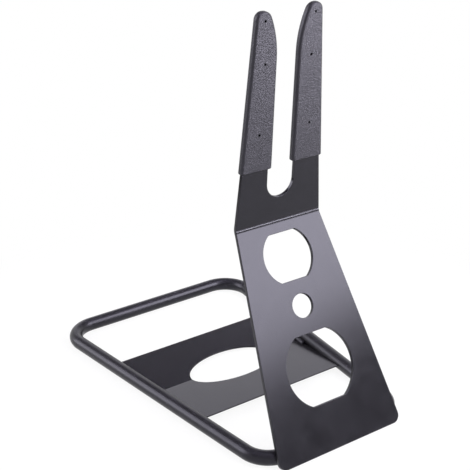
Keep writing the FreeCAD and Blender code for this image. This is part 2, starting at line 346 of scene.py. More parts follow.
class Outline:
    """A closed outline drawn on the local XY plane, one vertex after another."""

    def __init__(self, name: str, x: float, y: float) -> None:
        """Put the pen down.

        Args:
            name: The name of the object that is drawn.
            x: The pen's first place, in millimetres.
            y: The same, along Y.
        """
        deselect_all()
        bpy.ops.mesh.primitive_plane_add(size=MM, location=(0, 0, 0))
        self.piece = newly_added(name)
        bpy.ops.object.mode_set(mode="EDIT")
        select_everything()
        bpy.ops.mesh.merge(type="CENTER")
        bpy.ops.transform.translate(value=(x * MM, y * MM, 0))
        self.pen = Vector((x, y, 0))

    def line_to(self, x: float, y: float) -> "Outline":
        """Draw one straight edge to a point in millimetres."""
        step = Vector((x, y, 0)) - self.pen
        if step.length > LEAST_STROKE_MM:
            bpy.ops.mesh.extrude_vertices_move(TRANSFORM_OT_translate={"value": step * MM})
            self.pen += step
        return self

    def arc(self, x: float, y: float, turn: float, steps: int) -> "Outline":
        """Draw an arc.

        Args:
            x: The arc's centre, in millimetres.
            y: The same, along Y.
            turn: How far it turns, in degrees, anticlockwise.
            steps: How many edges it has.

        Returns:
            The outline, so that strokes can follow each other.
        """
        centre = Vector((x, y, 0))
        bpy.ops.mesh.spin(steps=steps, angle=-radians(turn), center=centre * MM, axis=(0, 0, 1))
        self.pen = centre + Matrix.Rotation(radians(turn), 3, "Z") @ (self.pen - centre)
        return self

    def corner(self, at: Vector, after: Vector, radius: float, steps: int) -> "Outline":
        """Draw up to a corner and round it.

        Args:
            at: The sharp corner, in millimetres.
            after: A point further along the outline.
            radius: The rounding's radius.
            steps: How many edges the rounding has.

        Returns:
            The outline.
        """
        start, centre, turn = fit_rounding(self.pen, at, after, radius)
        side = 1 if (self.pen - at).cross(after - at).z < 0 else -1
        self.line_to(start.x, start.y)
        return self.arc(centre.x, centre.y, side * degrees(turn), steps)

    def sheet(self) -> Piece:
        """Close the outline and fill it with one face that points along +Z."""
        select_everything()
        bpy.ops.mesh.remove_doubles(threshold=MERGE_MM * MM)
        bpy.ops.mesh.edge_face_add()
        point_sheet(self.piece, Vector((0, 0, 1)))
        bpy.ops.object.mode_set(mode="OBJECT")
        return self.piece

    def slab(self, low: float, high: float) -> Piece:
        """Close the outline and give it thickness.

        Args:
            low: The lower face's height along local Z, in millimetres.
            high: The upper face's height.

        Returns:
            The closed solid.
        """
        piece = self.sheet()
        with editing(piece, "FACE"):
            select_everything()
            bpy.ops.transform.translate(value=(0, 0, low * MM))
            pull(Vector((0, 0, (high - low) * MM)))
        turn_outwards(piece)
        return piece


# --- finishes ---
def linear(hex_colour: str) -> tuple[float, float, float, float]:
    """Turn an sRGB colour written as #rrggbb into Blender's linear values."""
    channels = [int(hex_colour[i:i + 2], 16) / 255 for i in (1, 3, 5)]
    return (*(c / 12.92 if c <= 0.04045 else ((c + 0.055) / 1.055) ** 2.4 for c in channels), 1.0)


def add_node(tree: NodeTree, kind: str, settings: dict[str, object] | None = None,
             **inputs: object) -> Node:
    """Add one node, set it and link it.

    Args:
        tree: The node tree it goes into.
        kind: Blender's name for the node, without its ShaderNode.
        settings: The node's own settings.
        inputs: Values or output sockets for its inputs, named with underscores for spaces.

    Returns:
        The new node.
    """
    node = tree.nodes.new(f"ShaderNode{kind}")
    for name, value in (settings or {}).items():
        setattr(node, name, value)
    for name, value in inputs.items():
        key = int(name[1:]) if name[0] == "i" and name[1:].isdigit() else name.replace("_", " ")
        if isinstance(value, NodeSocket):
            tree.links.new(value, node.inputs[key])
        else:
            node.inputs[key].default_value = value
    return node


def blank_material(name: str) -> tuple[Material, NodeTree]:
    """Make a material with an empty node tree."""
    material = bpy.data.materials.new(name)
    material.use_nodes = True
    material.node_tree.nodes.clear()
    return material, material.node_tree


@dataclass(frozen=True)
class Finish:
    """What every finish of the stand has: two tones, a faintly violet sheen and its own surface."""

    name: str
    low_tone: str
    high_tone: str
    sheen_cast: tuple[float, float, float, float]
    ior: float

    def surface(self, tree: NodeTree, place: NodeSocket) -> tuple[NodeSocket, NodeSocket, NodeSocket]:
        """Add the nodes of this finish's own pattern.

        Args:
            tree: The material's node tree.
            place: The point on the object.

        Returns:
            The share of the high tone, the roughness and the normal.
        """
        raise NotImplementedError

    def material(self) -> Material:
        """Build the finish's material."""
        material, tree = blank_material(self.name)
        place = add_node(tree, "TexCoord").outputs["Object"]
        share, rough, normal = self.surface(tree, place)
        colour = add_node(tree, "Mix", {"data_type": "RGBA"}, Factor=share, i6=linear(self.low_tone),
                          i7=linear(self.high_tone))
        shader = add_node(tree, "BsdfPrincipled", Base_Color=colour.outputs[2], Roughness=rough, IOR=self.ior,
                          Specular_Tint=self.sheen_cast, Normal=normal)
        add_node(tree, "OutputMaterial", Surface=shader.outputs["BSDF"])
        return material


@dataclass(frozen=True)
class PowderCoat(Finish):
    """Satin black polyester powder coat, sprayed and baked on mild steel.

    To the eye: a near-black, faintly violet skin with a soft sheen, the shallow waviness called
    orange peel about 2 mm across, and finer grains that scatter the highlights.
    """

    name: str = "satin_black_powder_coat"
    low_tone: str = "#0a090c"
    high_tone: str = "#0f0e11"
    sheen_cast: tuple[float, float, float, float] = (0.87, 0.85, 1.0, 1.0)
    ior: float = 1.45
    roughness_low: float = 0.19
    roughness_high: float = 0.22
    cloud_mm: float = 18.0
    peel_mm: float = 2.4
    peel_depth_mm: float = 0.0015
    grain_mm: float = 0.9       # real grains are near 0.1 mm; drawn as coarse as a pixel shows
    grain_depth_mm: float = 0.0008

    def surface(self, tree: NodeTree, place: NodeSocket) -> tuple[NodeSocket, NodeSocket, NodeSocket]:
        """Cloudy tone and roughness, with grains on the orange peel."""
        cloud, peel, grain = (
            add_node(tree, "TexNoise", Vector=place, Scale=1 / (size * MM), Detail=detail,
                     Roughness=coarseness).outputs["Fac"]
            for size, detail, coarseness in ((self.cloud_mm, 3.0, 0.55), (self.peel_mm, 1.0, 0.4),
                                             (self.grain_mm, 2.0, 0.6)))
        rough = add_node(tree, "MapRange", Value=cloud, From_Min=0.3, From_Max=0.7, To_Min=self.roughness_low,
                         To_Max=self.roughness_high)
        waves = add_node(tree, "Bump", Height=peel, Strength=1.0, Distance=self.peel_depth_mm * MM)
        grains = add_node(tree, "Bump", Height=grain, Strength=1.0, Distance=self.grain_depth_mm * MM,
                          Normal=waves.outputs["Normal"])
        return cloud, rough.outputs["Result"], grains.outputs["Normal"]


@dataclass(frozen=True)
class SleeveRubber(Finish):
    """Black moulded rubber from a bead-blasted mould.

    To the eye: charcoal with a fine pebble grain, whose crowns shine a little and whose pits are dull; the
    pits' darker colour is painted shade.
    """

    name: str = "moulded_grained_rubber"
    low_tone: str = "#17161a"       # of the crowns
    high_tone: str = "#060607"      # of the pits, darker as painted shade
    sheen_cast: tuple[float, float, float, float] = (0.87, 0.84, 1.0, 1.0)
    ior: float = 1.5
    crown_roughness: float = 0.21
    pit_roughness: float = 0.44
    pebble_mm: float = 1.15     # real grain is near 0.4 mm; drawn as coarse as a pixel shows
    pebble_depth_mm: float = 0.16
    fine_per_pebble: float = 2.2
    blotch_mm: float = 14.0

    def surface(self, tree: NodeTree, place: NodeSocket) -> tuple[NodeSocket, NodeSocket, NodeSocket]:
        """Pebbles with a finer grain on them, their pits darkened as painted shade, in tones that drift
        slowly.
        """
        pebble = add_node(tree, "TexVoronoi", {"feature": "SMOOTH_F1"}, Vector=place, Smoothness=0.4,
                          Scale=1 / (self.pebble_mm * MM)).outputs["Distance"]
        scales = self.fine_per_pebble / (self.pebble_mm * MM), 1 / (self.blotch_mm * MM)
        fine, blotch = (add_node(tree, "TexNoise", Vector=place, Scale=scale, Detail=2.0).outputs["Fac"]
                        for scale in scales)
        height = add_node(tree, "Math", {"operation": "ADD"}, i0=pebble, i1=fine)
        # the pebbles' hollows take the darker tone: painted shade in the pits
        share = add_node(tree, "Math", {"operation": "MULTIPLY"}, i0=pebble, i1=blotch)
        bumps = add_node(tree, "Bump", {"invert": True}, Height=height.outputs[0], Strength=1.0,
                         Distance=self.pebble_depth_mm * MM)
        rough = add_node(tree, "MapRange", Value=pebble, From_Min=0.1, From_Max=0.6,
                         To_Min=self.crown_roughness, To_Max=self.pit_roughness)
        return share.outputs[0], rough.outputs["Result"], bumps.outputs["Normal"]


class FinishRoom:
    """Makes each finish once and puts it on the pieces that have it."""

    def __init__(self) -> None:
        """Make the finishes."""
        self.by_slot = {
            Slot.STEEL: PowderCoat().material(),
            Slot.WELD: PowderCoat(name="powder_coat_on_weld_metal", peel_mm=1.4, peel_depth_mm=0.05,
                                  roughness_low=0.27, roughness_high=0.36).material(),
            Slot.SLEEVE: SleeveRubber().material(),
        }
        self.tube_coat = PowderCoat(name="satin_black_powder_coat_on_tube", roughness_low=0.3,
                                    roughness_high=0.34).material()

    def dress(self, piece: Piece, slot: Slot, node: str,
              coat: Material | None = None) -> Piece:
        """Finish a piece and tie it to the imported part.

        Args:
            piece: The finished mesh, with its place in it.
            slot: The record's slot that it belongs to.
            node: The CAD node it replaces.
            coat: Its own finish, where it isn't the slot's.

        Returns:
            The same piece.
        """
        piece.data.materials.clear()
        piece.data.materials.append(coat or self.by_slot[slot])
        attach(piece, "root")
        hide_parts(node)
        return piece


# --- base loop ---
@dataclass
class BaseLoop:
    """The loop of round tube that lies on the floor."""

    finishes: FinishRoom
    tube_radius: float = 8.0
    front_width: float = 180.0
    back_width: float = 255.0
    depth: float = 362.5
    front_corner_radius: float = 29.5
    back_corner_radius: float = 33.5
    facets: int = 64
    corner_steps: int = 28
    front_run_y: float = field(init=False)

    def __post_init__(self) -> None:
        """Take the front run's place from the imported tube."""
        self.front_run_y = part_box("base_tube")[0].y / MM + self.tube_radius

    def side_run_x(self, behind: float) -> float:
        """Right side run's centreline, at a distance behind the front run."""
        return (self.front_width + (self.back_width - self.front_width) * behind / self.depth) / 2

    def run_directions(self, side: Side) -> tuple[Vector, Vector]:
        """Directions of one side run, which turns out from straight back.

        Args:
            side: Which side run it is.

        Returns:
            The direction level and square to the run, outwards, and the one along it, to the back.
        """
        turn = atan2((self.back_width - self.front_width) / 2, self.depth)
        return (Vector((side.value * cos(turn), -sin(turn), 0)),
                Vector((side.value * sin(turn), cos(turn), 0)))

    def corners(self) -> list[tuple[Vector, float]]:
        """The centreline's sharp corners with their radii, from the right front one anticlockwise."""
        front, back, y = self.front_width / 2, self.back_width / 2, self.front_run_y
        return [(Vector((front, y, 0)), self.front_corner_radius),
                (Vector((back, y + self.depth, 0)), self.back_corner_radius),
                (Vector((-back, y + self.depth, 0)), self.back_corner_radius),
                (Vector((-front, y, 0)), self.front_corner_radius)]

    def front_middle(self, height: float) -> Vector:
        """Middle of the front run, at a height in millimetres."""
        return Vector((0, self.front_run_y, height))

    def tube(self) -> Piece:
        """Sweep a ring along the runs and round the corners until it meets its start."""
        piece = add_ring("base_tube_loop", self.facets, self.tube_radius,
                         self.front_middle(self.tube_radius) * MM, (0, pi / 2, 0))
        path = self.corners()
        points = [corner for corner, _ in path[1:]] + [self.front_middle(0)]
        pen = self.front_middle(0)
        with editing(piece):
            select_everything()
            for (corner, radius), after in zip(path, points):
                start, centre, turn = fit_rounding(pen, corner, after, radius)
                pull((start - pen) * MM)
                bpy.ops.mesh.spin(steps=self.corner_steps, angle=-turn, center=centre * MM, axis=(0, 0, 1))
                pen = centre + Matrix.Rotation(turn, 3, "Z") @ (start - centre)
            pull((self.front_middle(0) - pen) * MM)
        close_up(piece)
        return piece

    def build(self) -> list[Piece]:
        """Model and dress the loop."""
        return [self.finishes.dress(self.tube(), Slot.STEEL, "base_tube", self.finishes.tube_coat)]


# --- upright plate ---
@dataclass(frozen=True)
class ProngOutline:
    """What draws one prong, as bare steel or grown for a sleeve: millimetres and degrees."""

    half_gap: float             # from the middle to the slot's edge
    flare_start: float
    flare_x: float              # centre of the flare's arc
    flare_turn: float
    inner: tuple[float, float]  # centre of the tip's rounding on the slot's side
    outer: tuple[float, float]  # the same on the outer side
    outer_radius: float
    top: float
    tilt: float                 # of the outer edge
    foot: float
    foot_x: float               # of the outer edge at the foot
    slope: float                # of the outer edge, sideways for each millimetre up
    facets: tuple[int, int, int] = (14, 14, 12)     # of the flare, the inner and the outer rounding

    def edge_at(self, height: float) -> float:
        """Place of the outer edge at a height."""
        return self.foot_x + self.slope * (height - self.foot)

    def draw(self, pen: Outline, mirror: int, upward: bool) -> None:
        """Draw the prong between its slot edge and its outer edge.

        Args:
            pen: The outline.
            mirror: 1 for the right prong and -1 for the left.
            upward: Whether the pen climbs the slot edge, or comes to the outer edge's end and goes down it.
        """
        way = -mirror if upward else mirror
        flare_steps, inner_steps, outer_steps = self.facets
        flare = (mirror * self.flare_x, self.flare_start, way * self.flare_turn, flare_steps)
        inner = (mirror * self.inner[0], self.inner[1], way * (90 - self.flare_turn), inner_steps)
        outer = (mirror * self.outer[0], self.outer[1], way * (90 - self.tilt), outer_steps)
        if upward:
            pen.line_to(mirror * self.half_gap, self.flare_start).arc(*flare).arc(*inner)
            pen.line_to(outer[0], self.top).arc(*outer)
        else:
            tilt = radians(self.tilt)
            pen.line_to(outer[0] + mirror * self.outer_radius * cos(tilt),
                        outer[1] + self.outer_radius * sin(tilt)).arc(*outer)
            pen.line_to(inner[0], self.top).arc(*inner).arc(*flare)

    def blank(self, name: str, overlong: float) -> Outline:
        """Outline of the right prong alone, drawn past its foot so that it can be cut square.

        Args:
            name: The drawn object's name.
            overlong: How far past the foot it goes.

        Returns:
            The outline, ready to be made a slab.
        """
        low = self.foot - overlong
        pen = Outline(name, self.edge_at(low), low)
        self.draw(pen, 1, upward=False)
        return pen.line_to(self.half_gap, low)


@dataclass
class UprightPlate:
    """The bent 4 mm plate with its three holes, slot and two prongs."""

    finishes: FinishRoom
    base: BaseLoop
    thickness: float = 4.0
    lean: float = 27.9
    prong_lean: float = 4.0
    floor_gap: float = 0.3
    bend_radius: float = 10.0
    lower_length: float = 242.6
    bottom_half_width: float = 81.3
    bend_half_width: float = 53.7
    bottom_corner_radius: float = 9.0
    large_hole: tuple[float, float, float] = (85.2, 42.1, 36.7)     # height, radius, half flat
    upper_hole: tuple[float, float, float] = (204.7, 30.5, 25.6)
    small_hole: tuple[float, float] = (151.1, 12.8)
    hole_corner_radius: float = 1.0
    tip_height: float = 221.0
    tip_half_width: float = 35.2
    slot_half_width: float = 16.85
    slot_round_height: float = 44.6
    flare_start: float = 177.5
    flare_radius: float = 101.0
    tip_inner_radius: float = 6.1
    tip_outer_radius: float = 4.1
    edge_rounding: float = 0.45     # a laser-cut edge under its coat
    edge_steps: int = 3
    corner_steps: int = 16
    slot_steps: int = 48
    bend_steps: int = 14
    hole_side_steps: int = 60
    hole_corner_steps: int = 4
    small_hole_facets: int = 96

    def lower_axes(self) -> Matrix:
        """Local X across, Y up the lower part's front face, Z out of it; origin at its bottom edge."""
        lean = radians(self.lean)
        reach = self.base.tube_radius + self.thickness
        height = self.floor_gap + self.thickness * sin(lean)
        climb = (height - self.base.tube_radius - reach * sin(lean)) / cos(lean)
        y = self.base.front_run_y + climb * sin(lean) - reach * cos(lean)
        upright = Matrix.Rotation(radians(90 - self.lean), 4, "X")
        return Matrix.Translation(Vector((0, y, height)) * MM) @ upright

    def upper_axes(self) -> Matrix:
        """Local X across, Y up the prongs' front face, Z out of it; origin at the bend's apex."""
        apex = self.lower_axes() @ Vector((0, self.lower_length * MM, 0))
        return Matrix.Translation(apex) @ Matrix.Rotation(radians(90 + self.prong_lean), 4, "X")

    @property
    def bend_angle(self) -> float:
        """The bend's angle in degrees."""
        return self.lean + self.prong_lean

    @property
    def setback(self) -> float:
        """Distance from the bend's apex to where the flat parts end."""
        return self.bend_radius * tan(radians(self.bend_angle / 2))

    def steel_edge(self, height: float) -> float:
        """Distance from the middle to the plate's outer edge, above the bend."""
        share = (height - self.setback) / (self.tip_height - self.setback)
        return self.bend_half_width + (self.tip_half_width - self.bend_half_width) * share

    def prong(self, grow: float, outer_low: float, outer_high: float, foot: float) -> ProngOutline:
        """Work out a prong's outline, grown for the sleeve or left as the steel's.

        Args:
            grow: Growth on the slot side and over the tip.
            outer_low: Growth of the outer edge at the foot.
            outer_high: The same at the steel's tip.
            foot: Height at which outer_low holds.

        Returns:
            The outline.
        """
        flare, inner, outer = (radius + grow for radius in (self.flare_radius, self.tip_inner_radius,
                                                            self.tip_outer_radius))
        top = self.tip_height + grow
        flare_x = self.slot_half_width + self.flare_radius
        rise = top - inner - self.flare_start
        across = sqrt((flare - inner) ** 2 - rise ** 2)
        foot_x, high_x = self.steel_edge(foot) + outer_low, self.steel_edge(self.tip_height) + outer_high
        slope = (high_x - foot_x) / (self.tip_height - foot)
        tilt = atan2(-slope, 1.0)
        outer_y = top - outer
        outer_x = foot_x + slope * (outer_y - foot) - outer / cos(tilt)
        return ProngOutline(
            half_gap=self.slot_half_width - grow, flare_start=self.flare_start, flare_x=flare_x,
            flare_turn=degrees(atan2(rise, across)), inner=(flare_x - across, top - inner),
            outer=(outer_x, outer_y), outer_radius=outer, top=top, tilt=degrees(tilt), foot=foot,
            foot_x=foot_x, slope=slope)

    def slot_edge(self, height: float) -> float:
        """Distance from the middle to the bare prong's slot edge."""
        climb = max(height - self.flare_start, 0)
        return self.slot_half_width + self.flare_radius - sqrt(self.flare_radius ** 2 - climb ** 2)

    def lower_sheet(self) -> Piece:
        """Face of the lower part, from its bottom edge to the bend."""
        top = self.lower_length - self.setback
        left, right = (Vector((side.value * self.bottom_half_width, 0, 0)) for side in Side)
        rounding = self.bottom_corner_radius, self.corner_steps
        pen = Outline("upright_plate_sheet", -self.bend_half_width, top)
        pen.corner(left, right, *rounding)
        pen.corner(right, Vector((self.bend_half_width, top, 0)), *rounding)
        return pen.line_to(self.bend_half_width, top).sheet()

    def upper_sheet(self) -> Piece:
        """Face of the upper part: shoulders, slot and both prongs."""
        prong = self.prong(0, 0, 0, self.slot_round_height)
        pen = Outline("upper_part", self.bend_half_width, self.setback)
        prong.draw(pen, 1, upward=False)
        pen.line_to(self.slot_half_width, self.slot_round_height)
        pen.arc(0, self.slot_round_height, -180, self.slot_steps)
        prong.draw(pen, -1, upward=True)
        return pen.line_to(-self.bend_half_width, self.setback).sheet()

    def flatted_hole(self, height: float, radius: float, half_flat: float) -> Piece:
        """Cutter for a round hole with a flat at its top and bottom.

        Args:
            height: The hole's centre, up the front face.
            radius: Its round sides' radius.
            half_flat: From its centre to each flat.

        Returns:
            The cutter, standing on the local XY plane.
        """
        small = self.hole_corner_radius
        inner_y = half_flat - small
        inner_x = sqrt((radius - small) ** 2 - inner_y ** 2)
        edge_angle = degrees(atan2(inner_y, inner_x))
        side_x = radius * cos(radians(edge_angle))
        side_y = radius * sin(radians(edge_angle))
        pen = Outline("flatted_hole", side_x, height - side_y)
        for side in (1, -1):
            pen.arc(0, height, 2 * edge_angle, self.hole_side_steps)
            pen.arc(side * inner_x, height + side * inner_y, 90 - edge_angle, self.hole_corner_steps)
            pen.line_to(-side * inner_x, height + side * half_flat)
            pen.arc(-side * inner_x, height + side * inner_y, 90 - edge_angle, self.hole_corner_steps)
        return pen.slab(-CUTTER_REACH_MM, CUTTER_REACH_MM)

    def sheet(self) -> Piece:
        """Front face of the whole plate, with the bend turned between its two flat parts."""
        lower_axes, upper_axes = self.lower_axes(), self.upper_axes()
        lower, upper = self.lower_sheet(), self.upper_sheet()
        settle(lower, lower_axes)
        settle(upper, upper_axes)
        take(lower)
        upper.select_set(True)
        bpy.ops.object.join()
        top = self.lower_length - self.setback
        pivot = lower_axes @ (Vector((0, top, self.bend_radius)) * MM)
        line = lower_axes @ Vector((0, top * MM, 0))
        with editing(lower):
            select_verts(lower, lambda co: (co - line).yz.length < 2 * ON_LINE_MM * MM)
            bpy.ops.mesh.spin(steps=self.bend_steps, angle=-radians(self.bend_angle), center=pivot,
                              axis=(1, 0, 0))
            select_everything()
            bpy.ops.mesh.remove_doubles(threshold=ON_LINE_MM * MM)
            bpy.ops.mesh.normals_make_consistent(inside=False)
            point_sheet(lower, Vector((0, -1, 0)))
        return lower

    def plate(self) -> Piece:
        """Thicken the sheet, cut its holes and soften its edges."""
        piece = self.sheet()
        shape_with(piece, "SOLIDIFY", thickness=self.thickness * MM, offset=-1, use_even_offset=True)
        height, radius = self.small_hole
        for make, sizes in ((self.flatted_hole, self.large_hole), (self.flatted_hole, self.upper_hole),
                            (add_punch, (radius, 0, height, self.small_hole_facets))):
            cutter = make(*sizes)
            settle(cutter, self.lower_axes())
            cut_away(piece, cutter)
        turn_outwards(piece)
        soften_edges(piece, self.edge_rounding, self.edge_steps)
        shade(piece)
        return piece

    def build(self) -> list[Piece]:
        """Model and dress the plate."""
        return [self.finishes.dress(self.plate(), Slot.STEEL, "upright_plate")]


# --- sleeves ---
@dataclass
class GripSleeves:
    """The two rubber socks over the prongs, open at the foot, with locating-pin holes."""

    finishes: FinishRoom
    plate: UprightPlate
    foot: float = 63.5
    face_wall: float = 2.0
    slot_wall: float = 3.85
    outer_wall_low: float = 2.3
    outer_wall_high: float = 4.15
    section_rounding: float = 2.8
    foot_rounding: float = 1.5
    fit_gap: float = 0.08
    pin_hole_radius: float = 1.35
    pin_hole_drops: tuple[float, ...] = (118.3, 47.0, 5.0)
    left_slip: float = 1.6      # the left sock sits this much further down its prong than the right
    overlong: float = 15.0      # of the drawn shapes past the foot
    section_steps: int = 6
    foot_steps: int = 4
    pin_hole_facets: int = 24

    def body(self) -> Piece:
        """Right sleeve's outside: drawn too long, rounded all over, then cut square at the foot."""
        sock = self.plate.prong(self.slot_wall, self.outer_wall_low, self.outer_wall_high, self.foot)
        pen = sock.blank("grip_sleeve_right_sock", self.overlong)
        piece = pen.slab(-self.plate.thickness - self.face_wall, self.face_wall)
        soften_edges(piece, self.section_rounding, self.section_steps, angle=60)
        foot = self.foot * MM
        with editing(piece):
            slice_at(Vector((0, foot, 0)), Vector((0, 1, 0)), above=True)
            select_verts(piece, lambda co: abs(co.y - foot) < ON_LINE_MM * MM)
            bpy.ops.mesh.bevel(offset=self.foot_rounding * MM, segments=self.foot_steps, affect="EDGES")
        return piece

    def right(self) -> Piece:
        """Right sleeve with the prong's pocket and the pin holes cut out."""
        plate = self.plate
        piece = self.body()
        pocket = plate.prong(self.fit_gap, self.fit_gap, self.fit_gap, self.foot)
        pen = pocket.blank("prong_pocket", self.overlong)
        cut_away(piece, pen.slab(-plate.thickness - self.fit_gap, self.fit_gap))
        for drop in self.pin_hole_drops:
            height = plate.tip_height - drop
            middle = (plate.slot_edge(height) + plate.steel_edge(height)) / 2
            cut_away(piece, add_punch(self.pin_hole_radius, middle, height, self.pin_hole_facets))
        turn_outwards(piece)
        settle(piece, plate.upper_axes())
        return piece

    def build(self) -> list[Piece]:
        """Model and dress both sleeves."""
        right = self.right()
        left = mirrored_copy(right, "grip_sleeve_left_sock")
        with editing(left):
            select_everything()
            bpy.ops.transform.translate(value=self.plate.upper_axes().col[1].to_3d() * -self.left_slip * MM)
        for piece in (right, left):
            shade(piece)
        return [self.finishes.dress(right, Slot.SLEEVE, "grip_sleeve_right"),
                self.finishes.dress(left, Slot.SLEEVE, "grip_sleeve_left")]


# --- wheel tray ---
@dataclass
class WheelTray:
    """The folded 1.5 mm tray between the side runs, with its tyre oval."""

    finishes: FinishRoom
    base: BaseLoop
    thickness: float = 1.5
    fold_distance: float = 183.8
    fold_height: float = 2.85
    leaf_slope: float = 5.1
    front_leaf: float = 83.2
    back_leaf: float = 73.1
    fold_radius: float = 4.0
    end_gap: float = 0.1
    weld_reach: float = 1.5     # of the ends under the side runs, filled by the weld
    oval_half_length: float = 55.4
    oval_half_width: float = 30.0
    edge_rounding: float = 0.25
    edge_steps: int = 2
    fold_steps: int = 6
    oval_facets: int = 160

    @property
    def fold_y(self) -> float:
        """The fold's place along Y, in millimetres."""
        return self.base.front_run_y + self.fold_distance

    def top_at(self, behind_fold: float) -> float:
        """Height of the top face at a distance behind the fold."""
        return self.fold_height + abs(behind_fold) * tan(radians(self.leaf_slope))

    def sheet(self) -> Piece:
        """Top face: one leaf, the turned fold, then the other leaf, too wide at both ends."""
        half = self.base.back_width / 2 * MM
        slope = radians(self.leaf_slope)
        setback = self.fold_radius * tan(slope)
        fold = Vector((0, self.fold_y, self.fold_height))
        front_way = Vector((0, -cos(slope), sin(slope)))
        back_way = Vector((0, cos(slope), sin(slope)))
        front_edge, turn_start = fold + front_way * self.front_leaf, fold + front_way * setback
        deselect_all()
        bpy.ops.mesh.primitive_plane_add(size=2 * half, location=(0, 0, 0))
        piece = newly_added("wheel_tray_sheet")
        with editing(piece):
            select_verts(piece, lambda co: co.y < 0)
            bpy.ops.mesh.delete(type="VERT")
            select_everything()
            bpy.ops.transform.translate(value=front_edge * MM - Vector((0, half, 0)))
            pull((turn_start - front_edge) * MM)
            pivot = turn_start + Vector((0, sin(slope), cos(slope))) * self.fold_radius
            bpy.ops.mesh.spin(steps=self.fold_steps, angle=-2 * slope, center=pivot * MM, axis=(1, 0, 0))
            pull(back_way * (self.back_leaf - setback) * MM)
            for side in Side:
                self.trim_end(side)
            select_everything()
            bpy.ops.mesh.normals_make_consistent(inside=False)
            point_sheet(piece, Vector((0, 0, 1)))
        return piece

    def trim_end(self, side: Side) -> None:
        """In edit mode, cut one end along the slanted side run."""
        outward, _ = self.base.run_directions(side)
        on_run = Vector((side.value * self.base.side_run_x(self.fold_distance), self.fold_y, 0))
        on_plane = on_run - outward * (self.base.tube_radius + self.end_gap - self.weld_reach)
        slice_at(on_plane * MM, outward, above=False, fill=False)

    def tray(self) -> Piece:
        """Thicken the sheet, punch the oval and soften the edges."""
        piece = self.sheet()
        shape_with(piece, "SOLIDIFY", thickness=self.thickness * MM, offset=-1, use_even_offset=True)
        oval = add_punch(1.0, 0, self.fold_y, self.oval_facets)
        oval.scale = (self.oval_half_length, self.oval_half_width, 1)
        settle(oval, Matrix.Identity(4))
        cut_away(piece, oval)
        turn_outwards(piece)
        soften_edges(piece, self.edge_rounding, self.edge_steps)
        shade(piece)
        return piece

    def build(self) -> list[Piece]:
        """Model and dress the tray."""
        return [self.finishes.dress(self.tray(), Slot.STEEL, "wheel_tray")]


# --- welds ---
@dataclass
class ButtWeld:
    """The low rippled ring that closes the loop in its front run, behind the plate."""

    finishes: FinishRoom
    base: BaseLoop
    plate: UprightPlate
    width: float = 5.0
    crown: float = 0.6
    lift: float = 0.02          # of the ring's edges above the tube
    sink: float = 0.3           # of its sides into the tube's wall
    floor_trim: float = 0.05    # off its underside
    rings: int = 8
    facets: int = 96
    ripples: int = 24
    ripple_dip: float = 0.16
    ripple_half_turn: float = 2.5
    ripple_share: float = 0.4   # of the width, to each side of the middle

    def in_ripple(self, offset: Vector, angle: float) -> bool:
        """Whether a vertex of the ring lies in the valley of one ripple.

        Args:
            offset: The vertex from the ring's centre, in metres.
            angle: The valley's place round the tube, in radians.

        Returns:
            True where it does.
        """
        here = atan2(offset.z, offset.y)
        apart = abs((here - angle + pi) % (2 * pi) - pi)
        reach = self.ripple_share * self.width * MM
        return apart < radians(self.ripple_half_turn) and abs(offset.x) < reach

    def ring(self) -> Piece:
        """Whole ring with its crown and ripples."""
        skin = self.base.tube_radius
        centre = self.base.front_middle(skin) * MM
        start = centre - Vector((self.width / 2, 0, 0)) * MM
        radius = skin - self.sink
        piece = add_ring("butt_weld_ring", self.facets, radius, start, (0, pi / 2, 0), "NGON")
        with editing(piece):
            select_everything()
            for i in range(self.rings + 1):
                share = -1 + 2 * i / self.rings
                wanted = skin + self.lift + self.crown * (1 - share ** 2)
                pull(Vector((0.0 if i == 0 else self.width / self.rings * MM, 0, 0)))
                grow = wanted / radius
                here = start + Vector((self.width * i / self.rings, 0, 0)) * MM
                bpy.ops.transform.resize(value=(1, grow, grow), center_override=here)
                radius = wanted
            for ripple in range(self.ripples):
                angle = 2 * pi * ripple / self.ripples
                if select_verts(piece, lambda co, valley=angle: self.in_ripple(co - centre, valley)):
                    bpy.ops.transform.shrink_fatten(value=-self.ripple_dip * MM)
        return piece

    def build(self) -> list[Piece]:
        """Trim the ring by the floor and the plate's back, and dress it."""
        plate_back = self.plate.lower_axes() @ Matrix.Translation((0, 0, -self.plate.thickness * MM))
        weld = self.ring()
        with editing(weld):
            for at, normal in ((Vector((0, 0, self.floor_trim * MM)), Vector((0, 0, 1))),
                               (plate_back.translation, -plate_back.col[2].to_3d())):
                slice_at(at, normal, above=True, tolerance=EXACT_SLICE)
        close_up(weld, TRIMMED_CREASE)
        return [self.finishes.dress(weld, Slot.WELD, "loop_butt_weld")]


